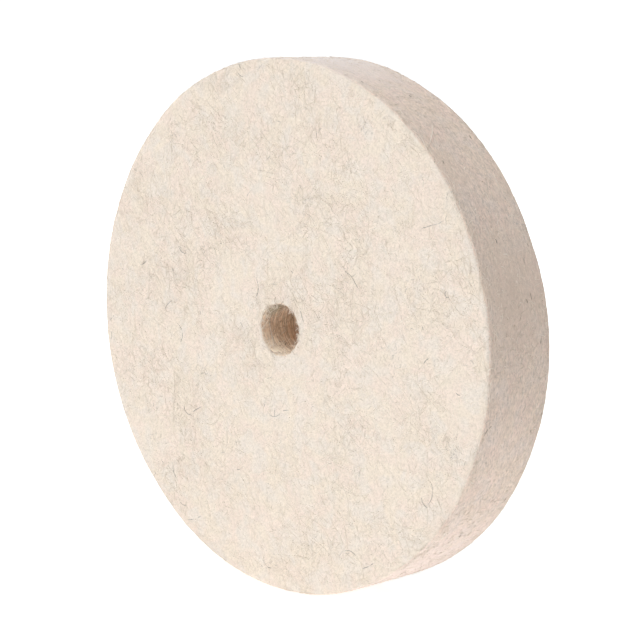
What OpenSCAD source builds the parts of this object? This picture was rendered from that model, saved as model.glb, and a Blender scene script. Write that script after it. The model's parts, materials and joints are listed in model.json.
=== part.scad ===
// Felt polishing wheel: one hard disc of pressed wool felt with a plain arbor bore.
// The origin is the middle of the bore, halfway between the two faces. The wheel turns about
// the Y axis, its front face looks along -Y, and +Z is up. All sizes are in millimetres.

/* [Wheel] */
// Outside diameter of the felt disc
wheel_d = 125; // [60:1:200]
// Thickness of the felt, from face to face
wheel_t = 20; // [8:0.5:40]
// Radius of the soft rounding where each face meets the rim
edge_r = 1; // [0.3:0.1:2.5]

/* [Arbor bore] */
// Diameter of the hole that fits the spindle
bore_d = 12; // [6:0.1:32]
// Radius of the rounding at each mouth of the bore
mouth_r = 0.5; // [0.2:0.1:1]

/* [Hidden] */

// Smoothness of the round surfaces
$fn = 180;

wheel_r = wheel_d / 2;
bore_r = bore_d / 2;
half_t = wheel_t / 2;
felt_colour = [0.93, 0.88, 0.83];

// Half of the section at one face, from the middle plane out: x is the radius, y the height.
// The rim's corner has the radius edge_r, and the corner at the bore has the radius mouth_r.
module half_section() {
    // the felt between the two roundings, up to the face
    translate([bore_r + mouth_r, 0])
        square([wheel_r - edge_r - bore_r - mouth_r, half_t]);
    // the felt under the rim's rounding
    translate([wheel_r - edge_r, 0])
        square([edge_r, half_t - edge_r]);
    // the felt under the bore mouth's rounding
    translate([bore_r, 0])
        square([mouth_r, half_t - mouth_r]);
    translate([wheel_r - edge_r, half_t - edge_r])
        circle(r = edge_r);
    translate([bore_r + mouth_r, half_t - mouth_r])
        circle(r = mouth_r);
}

// The whole disc: its section turned about the wheel's axis, with that axis laid along Y
module felt_disc() {
    color(felt_colour)
        rotate([90, 0, 0])
            rotate_extrude() {
                half_section();
                mirror([0, 1]) half_section();
            }
}

felt_disc();
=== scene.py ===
"""Looks of a felt polishing wheel: one pressed disc of pale wool felt and the loose wool on it."""

import json
import math
from collections import namedtuple

import bpy
import numpy as np
from mathutils import Matrix, Vector, noise


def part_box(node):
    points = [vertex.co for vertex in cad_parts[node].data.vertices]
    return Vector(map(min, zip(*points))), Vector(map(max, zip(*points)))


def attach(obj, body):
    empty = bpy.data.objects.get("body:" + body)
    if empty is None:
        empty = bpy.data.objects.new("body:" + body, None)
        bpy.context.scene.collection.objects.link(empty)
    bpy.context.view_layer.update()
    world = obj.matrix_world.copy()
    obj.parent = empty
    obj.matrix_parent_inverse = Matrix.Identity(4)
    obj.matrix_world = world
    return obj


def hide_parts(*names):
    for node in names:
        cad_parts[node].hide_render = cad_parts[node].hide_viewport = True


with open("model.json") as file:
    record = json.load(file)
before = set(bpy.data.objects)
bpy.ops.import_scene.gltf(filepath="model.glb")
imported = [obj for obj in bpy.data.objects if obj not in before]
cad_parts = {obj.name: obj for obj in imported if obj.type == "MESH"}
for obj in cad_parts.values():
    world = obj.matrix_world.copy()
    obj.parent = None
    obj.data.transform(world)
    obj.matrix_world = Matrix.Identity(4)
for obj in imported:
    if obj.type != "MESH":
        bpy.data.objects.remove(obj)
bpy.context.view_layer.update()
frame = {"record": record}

# Shapes are worked out in millimetres, and new_piece() turns them into metres.
MM = 0.001
TURN = 2 * math.pi

# ---------------------------------------------------------------- sizes from the frame


def mount(name):
    """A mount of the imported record, by its name."""
    return next(m for m in frame["record"]["mounts"] if m["name"] == name)


low_corner, high_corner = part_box("felt_disc")
bore_dims = mount("arbor_bore")["dims"]
# The disc's radius, half its thickness, the bore's radius and the rounding of the bore's mouths
RIM_R = (high_corner.x - low_corner.x) / 2 / MM
HALF_T = (high_corner.y - low_corner.y) / 2 / MM
BORE_R = bore_dims["r_mm"]
MOUTH_R = HALF_T - bore_dims["length_mm"] / 2
# The rounding where the faces meet the rim, a little sharper than in the CAD
EDGE_R = 0.8

# ---------------------------------------------------------------- the disc's uneven cut

# (waves round the rim, their height in mm, phase): the knife wanders a little on soft felt
OUTLINE_WAVES = ((2, 0.12, 0.4), (3, 0.10, 2.1), (5, 0.08, 4.0), (9, 0.05, 1.2), (16, 0.03, 5.1))
# How far the napped rim swells past the true disc, in mm
SWELL = 0.33
# How far the back face lies beyond the true disc at five heights, from the bottom of the wheel to
# its top, in mm: the felt was pressed a little unevenly
BACK_OFFSETS = (1.8, 0.9, 1.2, 0.4, 0.1)
# How far the back edge sits below the front edge, in mm: the knife leaned a little
LEAN = 0.35
# (size in mm, height in mm) of the soft lumps and of the nap on the felt's surface
RELIEF = ((14.0, 0.06), (3.2, 0.035), (1.1, 0.03))
# The same for the edge where the face meets the rim, which is cut less cleanly
RAGGED_EDGE = ((9.0, 0.08), (2.8, 0.07), (1.2, 0.06))
# How far from the edge the ragged cut reaches, in mm
RAGGED_REACH = 1.6
# The same for the mouths of the bore, torn a little by the drill
RAGGED_MOUTH = ((2.2, 0.22), (0.9, 0.22))
MOUTH_REACH = 1.0


def ease(value, start, end):
    """0 before start, 1 after end, and a smooth step between."""
    t = np.clip((value - start) / (end - start), 0, 1)
    return t * t * (3 - 2 * t)


def hand_cut(points):
    """Moves points of a true disc to the slightly uneven disc that is cut from felt."""
    x, y, z = points[..., 0], points[..., 1], points[..., 2]
    angle, radius = np.arctan2(z, x), np.hypot(x, z)
    wave = SWELL + sum(height * np.sin(n * angle + phase) for n, height, phase in OUTLINE_WAVES)
    outer, rear = ease(radius, 0.6 * RIM_R, RIM_R), ease(y, -HALF_T, HALF_T)
    grow = 1 + wave / RIM_R * outer
    offset = np.interp(z, np.linspace(-RIM_R, RIM_R, len(BACK_OFFSETS)), BACK_OFFSETS)
    return np.stack([x * grow, y + offset * rear, z * grow - LEAN * outer * rear], axis=-1)


def lumps(points, layers):
    """The height in mm of uneven felt at each point, as a sum of (size, height) layers of noise."""
    total = np.zeros(len(points))
    for size, height in layers:
        total += [height * noise.noise(Vector(p) / size) for p in points]
    return total


def relief(points):
    """The height in mm of the felt's surface above the true disc."""
    radius, height = np.hypot(points[:, 0], points[:, 2]), np.abs(points[:, 1])
    edge = ease(radius, RIM_R - RAGGED_REACH, RIM_R) * ease(height, HALF_T - RAGGED_REACH, HALF_T)
    mouth = ease(-radius, -BORE_R - MOUTH_REACH, -BORE_R) * ease(height, HALF_T - MOUTH_REACH, HALF_T)
    return lumps(points, RELIEF) + edge * lumps(points, RAGGED_EDGE) + mouth * lumps(points, RAGGED_MOUTH)


# ---------------------------------------------------------------- meshes


def new_piece(name, points, faces, materials, face_slots=None):
    """A smooth mesh piece from points in mm and triangles, riding on the wheel."""
    mesh = bpy.data.meshes.new(name)
    mesh.vertices.add(len(points))
    mesh.vertices.foreach_set("co", (points * MM).astype(np.float32).ravel())
    mesh.loops.add(faces.size)
    mesh.loops.foreach_set("vertex_index", faces.astype(np.int32).ravel())
    mesh.polygons.add(len(faces))
    mesh.polygons.foreach_set("loop_start", np.arange(0, faces.size, 3, dtype=np.int32))
    mesh.polygons.foreach_set("use_smooth", np.ones(len(faces), dtype=bool))
    for material in materials:
        mesh.materials.append(material)
    if face_slots is not None:
        mesh.polygons.foreach_set("material_index", face_slots.astype(np.int32))
    mesh.update(calc_edges=True)
    mesh.validate()
    piece = bpy.data.objects.new(name, mesh)
    bpy.context.scene.collection.objects.link(piece)
    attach(piece, "root")
    return piece


# ---------------------------------------------------------------- the felt body

# Spacing of the body's mesh in mm, and the steps round each of its corners
FACE_STEP = 0.68
EDGE_STEPS = 4
# How far each ring of the mesh is turned from the one before, so that no rows show
GOLDEN_TURN = 0.618 * TURN
# The materials of the body, and how much of a rounded corner has the face's felt
FACE_FELT, RIM_FELT, BORE_FELT = range(3)
FACE_ON_EDGE = 0.4
FACE_ON_MOUTH = 0.3


def straight(start, end, step):
    """Section points (radius, y, normal's radius, normal's y) from start up to, not including, end."""
    start, end = np.array(start, float), np.array(end, float)
    along = end - start
    count = max(1, round(np.linalg.norm(along) / step))
    normal = np.array([along[1], -along[0]]) / np.linalg.norm(along)
    shares = np.arange(count)[:, None] / count
    return np.hstack([start + along * shares, np.tile(normal, (count, 1))])


def corner(centre, radius, start_deg):
    """Section points round a quarter circle from start_deg up to, not including, its end."""
    angles = np.radians(start_deg + 90 * np.arange(EDGE_STEPS) / EDGE_STEPS)
    normals = np.stack([np.cos(angles), np.sin(angles)], axis=1)
    return np.hstack([np.array(centre) + radius * normals, normals])


def felt_section():
    """The disc's section, anticlockwise: front face, rim, back face, bore and their rounded corners."""
    step = FACE_STEP * math.sqrt(3) / 2
    inner, outer = BORE_R + MOUTH_R, RIM_R - EDGE_R
    wall, side = HALF_T - MOUTH_R, HALF_T - EDGE_R
    return np.vstack([
        straight((inner, -HALF_T), (outer, -HALF_T), step),
        corner((outer, -side), EDGE_R, -90),
        straight((RIM_R, -side), (RIM_R, side), step),
        corner((outer, side), EDGE_R, 0),
        straight((outer, HALF_T), (inner, HALF_T), step),
        corner((inner, wall), MOUTH_R, 90),
        straight((BORE_R, wall), (BORE_R, -wall), step),
        corner((inner, -wall), MOUTH_R, 180),
    ])


def stitch(first, second):
    """Triangles between two rings, each given as (index of its first point, point count, phase)."""
    faces = []
    for (start, count, phase), (other_start, other_count, other_phase), ahead in (
        (first, second, False),
        (second, first, True),
    ):
        k = np.arange(count)
        middle = phase + (k + 0.5) * TURN / count
        apex = np.ceil((middle - other_phase) * other_count / TURN - 0.5).astype(int)
        a, b = start + k, start + (k + 1) % count
        c = other_start + apex % other_count
        faces.append(np.stack([a, b, c] if ahead else [b, a, c], axis=1))
    return np.vstack(faces)


def felt_slots(middles):
    """Which felt each triangle has, by its middle: the face's, the rim's or the bore's."""
    reach, height = np.hypot(middles[:, 0], middles[:, 2]), np.abs(middles[:, 1])
    on_rim = (reach > RIM_R - EDGE_R) & (height < HALF_T - FACE_ON_EDGE * EDGE_R)
    in_bore = (reach < BORE_R + MOUTH_R) & (height < HALF_T - FACE_ON_MOUTH * MOUTH_R)
    return np.where(on_rim, RIM_FELT, np.where(in_bore, BORE_FELT, FACE_FELT))


def felt_body(materials):
    """The whole felt disc: one closed skin with an uneven cut and a napped surface."""
    section = felt_section()
    rings, points, normals, total = [], [], [], 0
    for i, (radius, y, normal_r, normal_y) in enumerate(section):
        count = round(TURN * radius / FACE_STEP)
        phase = (i * GOLDEN_TURN) % (TURN / count)
        angle = phase + TURN * np.arange(count) / count
        rings.append((total, count, phase))
        total += count
        ring = [radius * np.cos(angle), np.full(count, y), radius * np.sin(angle)]
        out = [normal_r * np.cos(angle), np.full(count, normal_y), normal_r * np.sin(angle)]
        points.append(np.stack(ring, axis=1))
        normals.append(np.stack(out, axis=1))
    points, normals = np.vstack(points), np.vstack(normals)
    points = points + normals * relief(points)[:, None]
    faces = np.vstack([stitch(a, b) for a, b in zip(rings, rings[1:] + rings[:1])])
    slots = felt_slots(points[faces].mean(axis=1))
    piece = new_piece("felt_body", hand_cut(points), faces, materials, slots)
    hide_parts("felt_disc")
    return piece


# ---------------------------------------------------------------- places for loose wool


def round_edge(past, radius, h):
    """Where a path lies that runs off a flat of felt and round its edge, at height h above the felt.

    past is how far the path has gone beyond the flat. The result is the distance out along the
    flat, and the height above it, which goes negative as the path runs down the other side.
    """
    bend = np.clip(past / radius, 0, math.pi / 2)
    down = np.clip(past - radius * math.pi / 2, 0, None)
    out = np.minimum(past, 0) + (radius + h) * np.sin(bend)
    return out, (radius + h) * np.cos(bend) - radius - down


def on_face(side):
    """Places (u across, v up, h above the felt) on the front face, side -1, or the back face, side 1.

    A path that leaves the face runs on down the rim or into the bore.
    """

    def place(u, v, h):
        reach = np.hypot(u, v)
        out, above = round_edge(reach - (RIM_R - EDGE_R), EDGE_R, h)
        inward, above_mouth = round_edge(BORE_R + MOUTH_R - reach, MOUTH_R, h)
        near_bore = reach < 0.5 * RIM_R
        radius = np.where(near_bore, BORE_R + MOUTH_R - inward, RIM_R - EDGE_R + out)
        height = HALF_T + np.where(near_bore, above_mouth, above)
        angle = np.arctan2(v, u)
        return np.stack([radius * np.cos(angle), side * height, radius * np.sin(angle)], axis=-1)

    return place


def on_wall(radius, corner_r, out):
    """Places (u round, s along Y, h above the felt) on the rim, out 1, or in the bore, out -1.

    A path that runs past the wall's end goes round its corner and onto the face.
    """

    def place(u, s, h):
        flat = HALF_T - corner_r
        along, above = round_edge(np.abs(s) - flat, corner_r, h)
        reach, angle = radius + out * above, u / radius
        return np.stack([reach * np.cos(angle), np.sign(s) * (flat + along), reach * np.sin(angle)], axis=-1)

    return place


def flat_over(side):
    """Places (u across, v up, h out) over a face, which stay flat past its edges and over the bore."""

    def place(u, v, h):
        return np.stack([u, side * (HALF_T + h), v], axis=-1)

    return place


FRONT, BACK = on_face(-1), on_face(1)
RIM, BORE = on_wall(RIM_R, EDGE_R, 1), on_wall(BORE_R, MOUTH_R, -1)


# How far into the bore and past the rim a face's fibre may start, in mm
START_IN_BORE = 1.0
START_PAST_RIM = 2.0
# How far outside the bore's wall the fibres round its mouths start, in mm
MOUTH_BAND = (0.2, 0.8)


def disc_starts(rng, count):
    """Random places, even over a face and a little past its edges."""
    reach = np.sqrt(rng.uniform((BORE_R - START_IN_BORE) ** 2, (RIM_R + START_PAST_RIM) ** 2, count))
    angle = rng.uniform(0, TURN, count)
    return np.stack([reach * np.cos(angle), reach * np.sin(angle)], axis=1)


def wall_starts(rng, count, radius, half_width):
    """Random places (round, along Y) on the rim or in the bore."""
    around = rng.uniform(0, TURN * radius, count)
    return np.stack([around, rng.uniform(-half_width, half_width, count)], axis=1)


def mouth_starts(rng, count, spread):
    """Random places round a mouth of the bore, and headings that point into it."""
    angle = rng.uniform(0, TURN, count)
    reach = BORE_R + rng.uniform(*MOUTH_BAND, count)
    starts = np.stack([reach * np.cos(angle), reach * np.sin(angle)], axis=1)
    return starts, angle + math.pi + rng.normal(0, spread, count)


def tuft_starts(rng, count, centres, spread):
    """Random places gathered about the middles of tufts."""
    middles = centres[rng.integers(0, len(centres), count)]
    return middles + rng.normal(0, spread, (count, 2))


# ---------------------------------------------------------------- wool fibres

# Fibre counts, and ranges of length, width and height over the felt in mm
Batch = namedtuple("Batch", "tone count length width lift")
# How high a fibre that is pressed into the felt stands, as a share of its width
PRESSED = 0.5
# Each fibre is a tube with this many sides, and its ends are this share of its width
TUBE_SIDES = 3
TIP = 0.35
# A length that keeps a division away from zero
TINY = 1e-9
# How much a fibre wobbles at each step, as a share of its curl
WOBBLE = 0.6
# How many times a fibre dips into the felt along its length
DIPS = (0.4, 1.3)
# How much stray hairs and hanging fibres curl, in radians, and how deep a hair is rooted, in mm
HAIR_CURL = 0.7
FRINGE_CURL = 0.9
ROOT_DEPTH = 0.1
# How far a face's fibre may run on past the edge and down the rim, in mm
OVERHANG = 4.0


def walk(rng, starts, headings, lengths, curl, steps):
    """Curved paths over a surface: arrays of u and v with steps + 1 points each."""
    count = len(headings)
    bend = rng.normal(0, curl, (count, 1)) + rng.normal(0, WOBBLE * curl, (count, steps))
    heading = headings[:, None] + np.cumsum(bend, axis=1) / steps
    stride = (lengths / steps)[:, None]
    u = np.hstack([np.zeros((count, 1)), np.cumsum(np.cos(heading) * stride, axis=1)])
    v = np.hstack([np.zeros((count, 1)), np.cumsum(np.sin(heading) * stride, axis=1)])
    return starts[:, :1] + u, starts[:, 1:] + v


def weave(rng, count, steps, lowest, highest):
    """Heights along each fibre, in mm: it dips into the felt and comes out of it."""
    along = np.linspace(0, 1, steps + 1)[None, :]
    phase = rng.uniform(0, TURN, (count, 1))
    waves = rng.uniform(*DIPS, (count, 1)) * TURN
    return lowest + (highest - lowest) * (0.5 + 0.5 * np.sin(phase + waves * along))


def tube_faces(count, rings):
    """The triangles of closed tubes whose points are numbered round each ring, ring by ring."""
    i, j = np.meshgrid(np.arange(rings - 1), np.arange(TUBE_SIDES), indexing="ij")
    a, b = i * TUBE_SIDES + j, i * TUBE_SIDES + (j + 1) % TUBE_SIDES
    walls = np.stack([a, b, b + TUBE_SIDES, a, b + TUBE_SIDES, a + TUBE_SIDES], axis=-1).reshape(-1, 3)
    near_end = np.array([[0, k + 1, k] for k in range(1, TUBE_SIDES - 1)])
    far_end = np.array([[0, k, k + 1] for k in range(1, TUBE_SIDES - 1)]) + (rings - 1) * TUBE_SIDES
    one = np.vstack([walls, near_end, far_end])
    firsts = np.arange(count) * rings * TUBE_SIDES
    return (one[None] + firsts[:, None, None]).reshape(-1, 3)


def tubes(place, u, v, h, widths, flat=1.0):
    """Closed tapering tubes along paths on a surface, flat times as high as they are wide."""
    path = place(u, v, h)
    normal = place(u, v, h + 1) - path
    tangent = np.gradient(path, axis=1)
    side = np.cross(tangent, normal)
    side /= np.linalg.norm(side, axis=2, keepdims=True) + TINY
    up = np.cross(side, tangent)
    up /= np.linalg.norm(up, axis=2, keepdims=True) + TINY
    count, rings = u.shape
    taper = np.ones(rings)
    taper[0] = taper[-1] = TIP
    spin = math.pi / 2 - TURN * np.arange(TUBE_SIDES) / TUBE_SIDES
    around = (
        side[:, :, None] * np.cos(spin)[None, None, :, None]
        + flat * up[:, :, None] * np.sin(spin)[None, None, :, None]
    )
    radii = widths[:, None, None, None] / 2 * taper[None, :, None, None]
    return (path[:, :, None] + around * radii).reshape(-1, 3), tube_faces(count, rings)


def turned(rng, count, heading):
    """Random headings: heading is a mean direction and its spread, or None for every direction."""
    return rng.uniform(0, TURN, count) if heading is None else rng.normal(*heading, count)


def wool_piece(name, batch, points, faces):
    """A piece of loose wool from the points and triangles of its fibres."""
    new_piece(name, hand_cut(points), faces, [WOOL[batch.tone]])


def lay_fibres(name, place, rng, batch, starts, heading, curl, steps=6):
    """A piece of loose wool: many thin curved tubes that lie on one of the wheel's surfaces.

    A face's fibre that would run far into the bore or down the rim is left out.
    """
    lengths = rng.uniform(*batch.length, batch.count)
    headings = turned(rng, batch.count, heading)
    u, v = walk(rng, starts, headings, lengths, curl, steps)
    h = weave(rng, batch.count, steps, *batch.lift)
    widths = rng.uniform(*batch.width, batch.count)
    if place in (FRONT, BACK):
        reach = np.hypot(u, v)
        clear = (reach.min(axis=1) > 0.5 * BORE_R) & (reach.max(axis=1) < RIM_R + OVERHANG)
        u, v, h, widths = u[clear], v[clear], h[clear], widths[clear]
    wool_piece(name, batch, *tubes(place, u, v, h, widths, PRESSED))


def raise_hairs(name, place, rng, batch, starts, heading=None, steps=6):
    """A piece of stray hairs: each is rooted in the felt, and its free end stands off the surface."""
    lengths = rng.uniform(*batch.length, batch.count)
    headings = turned(rng, batch.count, heading)
    u, v = walk(rng, starts, headings, lengths, HAIR_CURL, steps)
    rise = rng.uniform(*batch.lift, (batch.count, 1))
    h = rise * np.linspace(0, 1, steps + 1)[None, :] ** 1.5 - ROOT_DEPTH
    wool_piece(name, batch, *tubes(place, u, v, h, rng.uniform(*batch.width, batch.count)))


def hang_fibres(name, place, rng, batch, starts, headings, steps=5):
    """Short fibres that reach out over the bore and droop into it."""
    lengths = rng.uniform(*batch.length, batch.count)
    u, v = walk(rng, starts, headings, lengths, FRINGE_CURL, steps)
    droop = rng.uniform(*batch.lift, (batch.count, 1))
    h = 0.03 + droop * np.linspace(0, 1, steps + 1)[None, :] ** 2
    wool_piece(name, batch, *tubes(place, u, v, h, rng.uniform(*batch.width, batch.count)))


# ---------------------------------------------------------------- materials


class Shading:
    """A new material, with short ways to add nodes to it."""

    def __init__(self, name):
        self.material = bpy.data.materials.new(name)
        self.material.use_nodes = True
        self.tree = self.material.node_tree
        self.shader = self.tree.nodes["Principled BSDF"]

    def add(self, kind, **settings):
        node = self.tree.nodes.new(kind)
        for key, value in settings.items():
            setattr(node, key, value)
        return node

    def join(self, value, socket):
        """Links a socket's value to another socket, or sets it to a number or a colour."""
        if isinstance(value, bpy.types.NodeSocket):
            self.tree.links.new(value, socket)
        elif isinstance(value, tuple) and len(socket.default_value) == 4:
            socket.default_value = (*value, 1)
        else:
            socket.default_value = value

    def set(self, **values):
        """Sets or links the shader's own sockets, with _ for each space in their names."""
        for key, value in values.items():
            self.join(value, self.shader.inputs[key.replace("_", " ")])

    def here(self, stretch=(1, 1, 1), spin=0.0):
        """Object coordinates in mm, turned by spin about the wheel's axis and stretched."""
        mapping = self.add("ShaderNodeMapping", vector_type="TEXTURE")
        self.join(self.add("ShaderNodeTexCoord").outputs["Object"], mapping.inputs["Vector"])
        mapping.inputs["Rotation"].default_value = (0, spin, 0)
        mapping.inputs["Scale"].default_value = [s * MM for s in stretch]
        return mapping.outputs["Vector"]

    def noise(self, vector, size, detail=2.0, distortion=0.0, roughness=0.5):
        """Noise of a size in mm, about 0.25 to 0.75."""
        node = self.add("ShaderNodeTexNoise")
        values = (("Vector", vector), ("Scale", 1 / size), ("Detail", detail))
        for key, value in (*values, ("Distortion", distortion), ("Roughness", roughness)):
            self.join(value, node.inputs[key])
        return node.outputs["Fac"]

    def calc(self, operation, first, second=0.0, clamp=False):
        node = self.add("ShaderNodeMath", operation=operation, use_clamp=clamp)
        self.join(first, node.inputs[0])
        self.join(second, node.inputs[1])
        return node.outputs[0]

    def ramp(self, value, *stops):
        """A colour ramp over value, with stops of (position, colour)."""
        node = self.add("ShaderNodeValToRGB")
        elements = node.color_ramp.elements
        while len(elements) < len(stops):
            elements.new(0.5)
        for element, (position, colour) in zip(elements, stops):
            element.position = position
            element.color = (*colour, 1)
        self.join(value, node.inputs["Fac"])
        return node.outputs["Color"]

    def scale(self, value, start, end, low, high):
        """low where value is start or less, high where it is end or more, and even between."""
        node = self.add("ShaderNodeMapRange")
        for socket, number in zip(node.inputs, (value, start, end, low, high)):
            self.join(number, socket)
        return node.outputs["Result"]

    def near(self, place, start, end, share):
        """share within start mm of a place, none beyond end mm, and even between."""
        away = self.add("ShaderNodeVectorMath", operation="DISTANCE")
        self.join(self.here(), away.inputs[0])
        away.inputs[1].default_value = place
        return self.scale(away.outputs["Value"], start, end, share, 0.0)

    def mix(self, share, first, second, blend="MIX"):
        """Mixes two colours by share."""
        node = self.add("ShaderNodeMix", data_type="RGBA", blend_type=blend)
        for index, value in ((0, share), (6, first), (7, second)):
            self.join(value, node.inputs[index])
        return node.outputs[2]

    def bump(self, height, strength, depth):
        """Small relief from a height of 0 to 1, depth mm deep."""
        node = self.add("ShaderNodeBump")
        for key, value in (("Height", height), ("Strength", strength), ("Distance", depth * MM)):
            self.join(value, node.inputs[key])
        return node.outputs["Normal"]


# Linear colours: the tones of the felt, its palest strands, and the rim's darker tone and tint, its painted
# highlight and its painted light from the floor below
CREAM = (0.815, 0.720, 0.614)
PEACH = (0.822, 0.702, 0.618)
CHALK = (0.785, 0.718, 0.652)
PALE = (0.905, 0.808, 0.690)
# The rim's darker tone, for its mottling and for painted shade
RIM_DARK_TONE_AND_SHADE = (0.700, 0.590, 0.485)
# The rim's tint: partly its own browner tone, partly painted warm shade
RIM_TONE_AND_WARM_SHADE = (0.970, 0.885, 0.850)
RIM_PAINTED_HIGHLIGHT = (0.870, 0.860, 0.860)
RIM_PAINTED_FLOOR_LIGHT = (0.940, 0.850, 0.810)
# Patches of the rim's colour: painted shade at 12 degrees, a darker patch by the front edge, a painted
# highlight along the top and painted light from the floor along the bottom: (degrees round it, y in mm,
# reach in mm, share, colour)
RIM_PATCHES_AND_PAINTED_LIGHT = (
    (12, 0, 20, 0.75, RIM_DARK_TONE_AND_SHADE), (40, -9, 8, 0.5, RIM_DARK_TONE_AND_SHADE), (87, 0, 28, 1.0, RIM_PAINTED_HIGHLIGHT),
    (-60, 0, 26, 0.8, RIM_PAINTED_FLOOR_LIGHT),
)
# Linear colours in the bore: the wall, partly its own browner tone and partly painted shade, painted
# shadow on the upper wall inside the front mouth, painted warm shade deep inside, and painted light
# on the bottom inside the front mouth
WALL_TONES_AND_SHADE = ((0.60, 0.39, 0.26), (0.86, 0.68, 0.52), (0.94, 0.81, 0.67))
BORE_PAINTED_SHADOW, BORE_PAINTED_SHADOW_AT = (0.49, 0.45, 0.34), (-4.0, -7.5, 4.6)
BORE_PAINTED_WARM_SHADE, BORE_PAINTED_WARM_SHADE_AT = (0.66, 0.38, 0.25), (-4.7, 1.0, -3.6)
BORE_PAINTED_LIGHT, BORE_PAINTED_LIGHT_AT = (0.98, 0.90, 0.75), (-2.5, -8.0, -5.4)
# The soft light that the cut fibre ends of the rim catch, and how broad it is
RIM_SHEEN, RIM_SHEEN_ROUGHNESS = 0.4, 0.85
# The directions of the faces' strands, in radians about the wheel's axis
STRAND_SPINS = (0.25, 1.1, 1.85, 2.7)


def strands(felt):
    """0 to 1: thin curved strands that cross each other in the plane of the faces."""
    total = None
    for number, spin in enumerate(STRAND_SPINS):
        wool = felt.noise(felt.here((0.55, 2.0, 5.5), spin), 0.62 - 0.06 * number, 1.0, 0.55)
        ridge = felt.calc("ABSOLUTE", felt.calc("SUBTRACT", wool, 0.5))
        strand = felt.calc("SUBTRACT", 1.0, felt.calc("MULTIPLY", ridge, 14.0), True)
        total = strand if total is None else felt.calc("MAXIMUM", total, strand)
    return total


def felt_colour(felt):
    """The wool's mottling: cream with soft peach and chalky patches some millimetres wide."""
    warm = felt.noise(felt.here(), 5.5, 0.0, 0.4)
    cool = felt.noise(felt.here(), 4.6, 0.5, 0.6)
    colour = felt.ramp(warm, (0.38, CREAM), (0.64, PEACH))
    return felt.mix(felt.scale(cool, 0.46, 0.66, 0.0, 0.85), colour, CHALK)


def finish_felt(felt, colour, height, strength, sheen=0.1, sheen_roughness=0.6):
    """Joins colour, bump and roughness to the shader, and sets what is the same all over."""
    felt.set(
        Base_Color=colour,
        Normal=felt.bump(height, strength, 0.12),
        Roughness=felt.scale(height, 0.2, 1.2, 1.0, 0.86),
        Specular_IOR_Level=0.15,
        Sheen_Weight=sheen,
        Sheen_Roughness=sheen_roughness,
        Sheen_Tint=(1.0, 0.98, 0.96),
    )
    return felt.material


def face_felt():
    """Felt as pressed: a mat of strands over gaps made slightly darker with painted shade."""
    felt = Shading("felt_face")
    mat = strands(felt)
    shaded_gaps = felt.noise(felt.here(), 0.60, 4.0, 0.6, 0.75)
    pits = felt.noise(felt.here(), 0.42, 1.0)
    # Painted shade: the gaps between the strands are darkened
    darker = felt.ramp(shaded_gaps, (0.36, (0.80, 0.80, 0.785)), (0.60, (1.04, 1.04, 1.04)))
    colour = felt.mix(1.0, felt_colour(felt), darker, "MULTIPLY")
    colour = felt.mix(felt.scale(pits, 0.34, 0.25, 0.0, 0.65), colour, (0.50, 0.45, 0.39))
    colour = felt.mix(felt.calc("MULTIPLY", mat, 0.3), colour, PALE)
    return finish_felt(felt, colour, felt.calc("ADD", mat, shaded_gaps), 0.3)


def rim_felt():
    """Felt as cut: short streaks round the rim, and the ends of cut fibres."""
    felt = Shading("felt_rim")
    streaks = felt.noise(felt.here((1, 0.5, 1)), 1.1, 4.0, 0.3, 0.8)
    mottle = felt.noise(felt.here((1, 0.7, 1)), 2.6, 2.0, 0.4)
    ends = felt.noise(felt.here((1, 0.7, 1)), 0.42, 1.0)
    pale = felt.noise(felt.here((1.3, 0.4, 1.3)), 0.9, 1.0, 0.3)
    darker = felt.ramp(streaks, (0.36, (0.66, 0.65, 0.635)), (0.60, (1.16, 1.16, 1.16)))
    colour = felt.mix(1.0, felt_colour(felt), darker, "MULTIPLY")
    colour = felt.mix(felt.scale(mottle, 0.4, 0.6, 0.0, 0.3), colour, RIM_DARK_TONE_AND_SHADE)
    # Patches of painted shade, painted highlight and painted floor light, and one darker patch
    for degrees, y, reach, share, tone in RIM_PATCHES_AND_PAINTED_LIGHT:
        angle = math.radians(degrees)
        place = (RIM_R * math.cos(angle), y, RIM_R * math.sin(angle))
        colour = felt.mix(felt.near(place, 2.0, reach, share), colour, tone)
    colour = felt.mix(felt.scale(pale, 0.60, 0.70, 0.0, 0.7), colour, PALE)
    # Painted warm shade, in part: the rim's tint
    colour = felt.mix(1.0, colour, RIM_TONE_AND_WARM_SHADE, "MULTIPLY")
    colour = felt.mix(felt.scale(ends, 0.31, 0.25, 0.0, 0.7), colour, (0.36, 0.29, 0.23))
    return finish_felt(felt, colour, streaks, 0.8, RIM_SHEEN, RIM_SHEEN_ROUGHNESS)


def bore_felt():
    """Felt as drilled: fine marks that run round the bore, its brown partly its own tone and partly painted
    shade.
    """
    felt = Shading("felt_bore")
    streaks = felt.noise(felt.here((1.2, 0.4, 1.2)), 0.8, 3.0, 0.4, 0.65)
    rings = felt.noise(felt.here((6.0, 0.5, 6.0)), 0.8, 1.0)
    # Painted shade, in part: the wall's brown tones
    colour = felt.ramp(streaks, *zip((0.3, 0.5, 0.7), WALL_TONES_AND_SHADE))
    # Painted warm shade deep in the bore, painted light on its bottom and painted shadow on its upper wall,
    # both by the front mouth
    colour = felt.mix(felt.near(BORE_PAINTED_WARM_SHADE_AT, 0.5, 4.0, 0.6), colour, BORE_PAINTED_WARM_SHADE)
    colour = felt.mix(felt.near(BORE_PAINTED_LIGHT_AT, 1.0, 5.5, 0.7), colour, BORE_PAINTED_LIGHT)
    colour = felt.mix(felt.near(BORE_PAINTED_SHADOW_AT, 1.5, 3.6, 0.85), colour, BORE_PAINTED_SHADOW)
    marks = felt.ramp(rings, (0.40, (0.84, 0.83, 0.82)), (0.58, (1.12, 1.12, 1.12)))
    colour = felt.mix(1.0, colour, marks, "MULTIPLY")
    return finish_felt(felt, colour, felt.calc("ADD", streaks, rings), 1.0)


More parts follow.
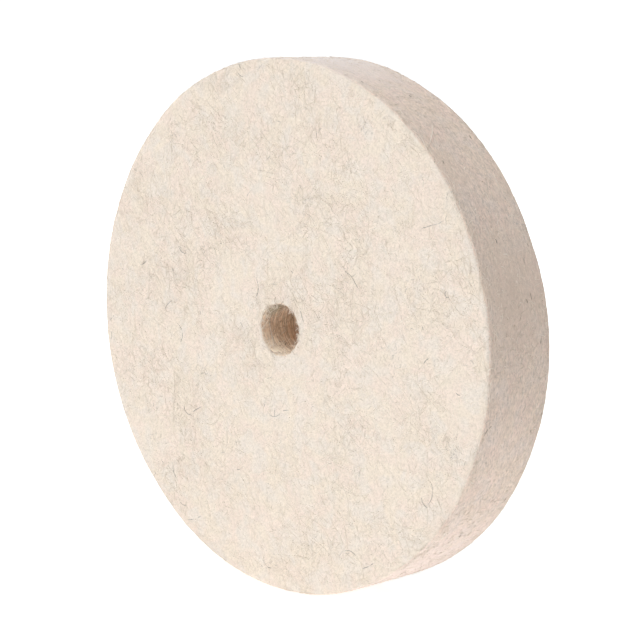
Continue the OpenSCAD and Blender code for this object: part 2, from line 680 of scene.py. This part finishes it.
# The darker and the lighter tone of each kind of loose wool, as linear colours
TONES = {
    "white": ((0.930, 0.847, 0.752), (0.985, 0.912, 0.825)),
    "ivory": ((0.880, 0.787, 0.680), (0.950, 0.858, 0.760)),
    "cream": ((0.800, 0.710, 0.605), (0.860, 0.768, 0.665)),
    "tan": ((0.620, 0.537, 0.447), (0.750, 0.662, 0.570)),
    "ash": ((0.45, 0.42, 0.39), (0.68, 0.63, 0.58)),
    "grey": ((0.13, 0.125, 0.12), (0.40, 0.375, 0.35)),
    "umber": ((0.30, 0.20, 0.13), (0.70, 0.55, 0.41)),
    "brown": ((0.17, 0.13, 0.095), (0.40, 0.31, 0.23)),
}


def fibre_wool(tone, dark, light):
    """Wool of one kind: its colour drifts between two tones along each fibre."""
    wool = Shading(f"wool_{tone}")
    drift = wool.noise(wool.here(), 1.2)
    wool.set(
        Base_Color=wool.ramp(drift, (0.35, dark), (0.65, light)),
        Roughness=0.8,
        Specular_IOR_Level=0.25,
        Sheen_Weight=0.1,
    )
    return wool.material


WOOL = {tone: fibre_wool(tone, *colours) for tone, colours in TONES.items()}

# ---------------------------------------------------------------- the loose wool

# The mat of fibres on each face
FACE_WOOL = (
    Batch("white", 1700, (2.5, 12.0), (0.10, 0.16), (-0.06, 0.07)),
    Batch("ivory", 4600, (3.0, 9.0), (0.07, 0.11), (-0.06, 0.05)),
    Batch("cream", 3600, (2.5, 7.0), (0.07, 0.11), (-0.07, 0.03)),
    Batch("tan", 2400, (0.8, 4.0), (0.06, 0.10), (-0.06, 0.04)),
    Batch("grey", 60, (1.0, 3.5), (0.06, 0.10), (-0.07, 0.06)),
)
# The long pale strands that lie on top of each face's mat
LONG_WOOL = Batch("white", 170, (9.0, 26.0), (0.09, 0.13), (0.02, 0.10))
# The cut fibres on the rim
RIM_WOOL = (
    Batch("white", 420, (1.0, 4.0), (0.11, 0.18), (-0.07, 0.07)),
    Batch("ivory", 3000, (0.8, 3.5), (0.07, 0.12), (-0.07, 0.07)),
    Batch("tan", 3200, (0.5, 2.2), (0.08, 0.13), (-0.06, 0.05)),
    Batch("umber", 190, (0.3, 1.0), (0.08, 0.17), (-0.05, 0.05)),
)
# The ash-coloured fibres that gather in loose tufts on each face, and how far they spread, in mm
TUFTS = 14
FIBRES_PER_TUFT = 14
TUFT_SPREAD = 1.5
TUFT_WOOL = Batch("ash", TUFTS * FIBRES_PER_TUFT, (0.8, 3.0), (0.06, 0.10), (-0.08, 0.10))
# The dark fibres that stand out on the front face, and the dark specks of the rim
DARK_FIBRES = Batch("grey", 30, (2.0, 7.0), (0.11, 0.12), (0.0, 0.09))
RIM_SPECKS = Batch("brown", 45, (0.8, 1.8), (0.17, 0.21), (0.0, 0.09))
# The hairs that cross the bore's front mouth
BORE_HAIRS = Batch("cream", 3, (4.0, 6.0), (0.12, 0.14), (-0.05, 0.05))
# The long hair that stands off the front edge, and how far round the rim it grows
EDGE_HAIR = Batch("white", 1, (9.0, 10.0), (0.17, 0.19), (1.1, 1.3))
EDGE_HAIR_AT = math.radians(45)


def face_wool(surface, place, seed):
    """The mat of fibres on one face, with a few stray hairs."""
    for number, batch in enumerate(FACE_WOOL):
        rng = np.random.default_rng(seed + number)
        lay_fibres(f"{surface}_{batch.tone}", place, rng, batch, disc_starts(rng, batch.count), None, 1.0)
    rng = np.random.default_rng(seed + 9)
    lay_fibres(f"{surface}_long", place, rng, LONG_WOOL, disc_starts(rng, LONG_WOOL.count), None, 0.9, 14)
    rng = np.random.default_rng(seed + 10)
    hairs = Batch("ivory", 90, (2.0, 6.0), (0.05, 0.08), (0.15, 1.0))
    raise_hairs(f"{surface}_hairs", place, rng, hairs, disc_starts(rng, hairs.count))


def tufts(surface, place, seed):
    """Loose tufts of ash-coloured fibres on one face."""
    rng = np.random.default_rng(seed)
    starts = tuft_starts(rng, TUFT_WOOL.count, disc_starts(rng, TUFTS), TUFT_SPREAD)
    lay_fibres(f"{surface}_tufts", place, rng, TUFT_WOOL, starts, None, 2.2)


def rim_wool(seed):
    """Fibres and dark specks on the rim, most of them lying round it, with fuzz and stray hairs."""
    for number, batch in enumerate(RIM_WOOL):
        rng = np.random.default_rng(seed + number)
        starts = wall_starts(rng, batch.count, RIM_R, HALF_T)
        lay_fibres(f"rim_{batch.tone}", RIM, rng, batch, starts, (0, 0.8), 1.4)
    rng = np.random.default_rng(seed + 10)
    hairs = Batch("ivory", 110, (1.5, 4.0), (0.05, 0.08), (0.2, 1.2))
    raise_hairs("rim_hairs", RIM, rng, hairs, wall_starts(rng, hairs.count, RIM_R, HALF_T))
    fuzz = Batch("ivory", 900, (0.6, 2.0), (0.05, 0.08), (0.15, 0.6))
    raise_hairs("rim_fuzz", RIM, rng, fuzz, wall_starts(rng, fuzz.count, RIM_R, HALF_T), None, 4)
    rng = np.random.default_rng(seed + 11)
    specks = wall_starts(rng, RIM_SPECKS.count, RIM_R, HALF_T)
    lay_fibres("rim_specks", RIM, rng, RIM_SPECKS, specks, (0, 0.2), 0.5, 4)
    root = np.array([[RIM_R * EDGE_HAIR_AT, -HALF_T]])
    raise_hairs("edge_hair", RIM, np.random.default_rng(seed + 12), EDGE_HAIR, root, (1.0, 0.05))


def bore_wool(seed):
    """Fuzz on the bore's wall, the ragged fringe of both its mouths and the hairs across one."""
    fuzz = (
        Batch("ivory", 260, (0.8, 3.0), (0.07, 0.11), (-0.1, 0.4)),
        Batch("umber", 480, (0.6, 2.2), (0.08, 0.14), (-0.1, 0.35)),
    )
    for number, batch in enumerate(fuzz):
        rng = np.random.default_rng(seed + number)
        starts = wall_starts(rng, batch.count, BORE_R, HALF_T)
        lay_fibres(f"bore_{batch.tone}", BORE, rng, batch, starts, None, 1.4)
    fringe = Batch("ivory", 110, (0.7, 2.0), (0.08, 0.14), (-0.7, 0.1))
    for number, (surface, side) in enumerate((("front", -1), ("back", 1))):
        rng = np.random.default_rng(seed + 5 + number)
        starts, inward = mouth_starts(rng, fringe.count, 0.7)
        hang_fibres(f"bore_fringe_{surface}", flat_over(side), rng, fringe, starts, inward)
    rng = np.random.default_rng(seed + 9)
    starts, inward = mouth_starts(rng, BORE_HAIRS.count, 0.9)
    hang_fibres("bore_hairs", flat_over(-1), rng, BORE_HAIRS, starts, inward, 8)


def loose_wool():
    """Every piece of loose wool, each from its own seeded numbers."""
    face_wool("front", FRONT, 11)
    face_wool("back", BACK, 31)
    tufts("front", FRONT, 51)
    tufts("back", BACK, 52)
    rng = np.random.default_rng(53)
    starts = disc_starts(rng, DARK_FIBRES.count)
    lay_fibres("front_dark_fibres", FRONT, rng, DARK_FIBRES, starts, None, 1.2, 8)
    rim_wool(61)
    bore_wool(81)


# ---------------------------------------------------------------- stage, lights and camera

# The softboxes' distance from the wheel and their size, in metres
SOFTBOX_DISTANCE = 1.25
SOFTBOX_SIZE = 1.1
# Each softbox's direction from the wheel, and its power in watts
SOFTBOXES = {
    "key": ((0.1, -0.8, 0.8), 9.0),
    "left": ((-0.8, -0.5, 0.7), 3.2),
    "top": ((0.1, -0.2, 1.0), 6.9),
    "back": ((-0.1, 0.6, 0.9), 4.2),
}
# The floor's side, in metres
FLOOR_SIZE = 30.0
# The floor's glow near the wheel and far from it, as it lights the wheel and as it looks, and the
# distances in metres where it changes
FLOOR_LIGHT = (0.54, 0.15)
FLOOR_LOOK = (0.60, 1.1)
FLOOR_GLOW_FROM, FLOOR_GLOW_TO = 0.25, 0.8
CAMERA_AZIMUTH = math.radians(44.1)
CAMERA_ELEVATION = math.radians(9.65)
# The lens and the sensor's width in mm, and how far the camera sees, in metres
CAMERA_LENS = 115.2
CAMERA_SENSOR = 36.0
CAMERA_REACH = 100.0
# Where the middle of the front face lies from the camera, in wheel radii: right, down and ahead
FACE_FROM_CAMERA = (-0.1498, 0.0362, 7.62)


def floor(height):
    """A plain pale floor under the wheel, brighter further away."""
    paint = Shading("floor_paint")
    away = paint.add("ShaderNodeVectorMath", operation="LENGTH")
    paint.join(paint.add("ShaderNodeTexCoord").outputs["Object"], away.inputs[0])
    seen = paint.add("ShaderNodeLightPath").outputs["Is Camera Ray"]
    near, far = (paint.scale(seen, 0, 1, light, look) for light, look in zip(FLOOR_LIGHT, FLOOR_LOOK))
    glow = paint.scale(away.outputs["Value"], FLOOR_GLOW_FROM, FLOOR_GLOW_TO, near, far)
    paint.set(
        Base_Color=(0.92, 0.92, 0.92),
        Roughness=1.0,
        Specular_IOR_Level=0.0,
        Emission_Color=(1.0, 1.0, 1.0),
        Emission_Strength=glow,
    )
    bpy.ops.mesh.primitive_plane_add(size=FLOOR_SIZE, location=(0, 0, height))
    plane = bpy.context.object
    plane.name = "floor"
    plane.data.materials.append(paint.material)


def softbox(name, direction, power):
    """A square softbox that looks at the wheel from a direction."""
    light = bpy.data.lights.new(name, "AREA")
    light.size = SOFTBOX_SIZE
    light.energy = power
    lamp = bpy.data.objects.new(name, light)
    lamp.location = Vector(direction).normalized() * SOFTBOX_DISTANCE
    lamp.rotation_euler = (-Vector(direction)).to_track_quat("-Z", "Y").to_euler()
    bpy.context.scene.collection.objects.link(lamp)


def studio():
    """Plain soft light from above, most of it from the front, in a room that looks white."""
    world = bpy.data.worlds.new("studio")
    bpy.context.scene.world = world
    world.use_nodes = True
    nodes, link = world.node_tree.nodes, world.node_tree.links.new
    fill = nodes["Background"]
    fill.inputs["Color"].default_value = (1, 1, 1, 1)
    fill.inputs["Strength"].default_value = 0.01
    seen = nodes.new("ShaderNodeBackground")
    seen.inputs["Color"].default_value = (1, 1, 1, 1)
    paths, swap = nodes.new("ShaderNodeLightPath"), nodes.new("ShaderNodeMixShader")
    link(paths.outputs["Is Camera Ray"], swap.inputs[0])
    link(fill.outputs[0], swap.inputs[1])
    link(seen.outputs[0], swap.inputs[2])
    link(swap.outputs[0], nodes["World Output"].inputs["Surface"])
    for name, (direction, power) in SOFTBOXES.items():
        softbox(name, direction, power)
    bpy.context.scene.view_settings.view_transform = "Standard"


def camera():
    """The camera, with the front face's middle where FACE_FROM_CAMERA says."""
    a, e = CAMERA_AZIMUTH, CAMERA_ELEVATION
    right = Vector((math.cos(a), math.sin(a), 0))
    ahead = Vector((-math.sin(a) * math.cos(e), math.cos(a) * math.cos(e), -math.sin(e)))
    up = right.cross(ahead)
    across, down, away = (value * RIM_R * MM for value in FACE_FROM_CAMERA)
    face_middle = Vector((0, -HALF_T * MM, 0))
    data = bpy.data.cameras.new("camera")
    data.lens = CAMERA_LENS
    data.sensor_width = CAMERA_SENSOR
    data.clip_end = CAMERA_REACH
    eye = bpy.data.objects.new("camera", data)
    turn = Matrix((right, up, -ahead)).transposed()
    eye.matrix_world = turn.to_4x4()
    eye.location = face_middle - across * right + down * up - away * ahead
    bpy.context.scene.collection.objects.link(eye)
    bpy.context.scene.camera = eye


camera()
studio()
body = felt_body([face_felt(), rim_felt(), bore_felt()])
loose_wool()
floor(min(v.co.z for v in body.data.vertices))
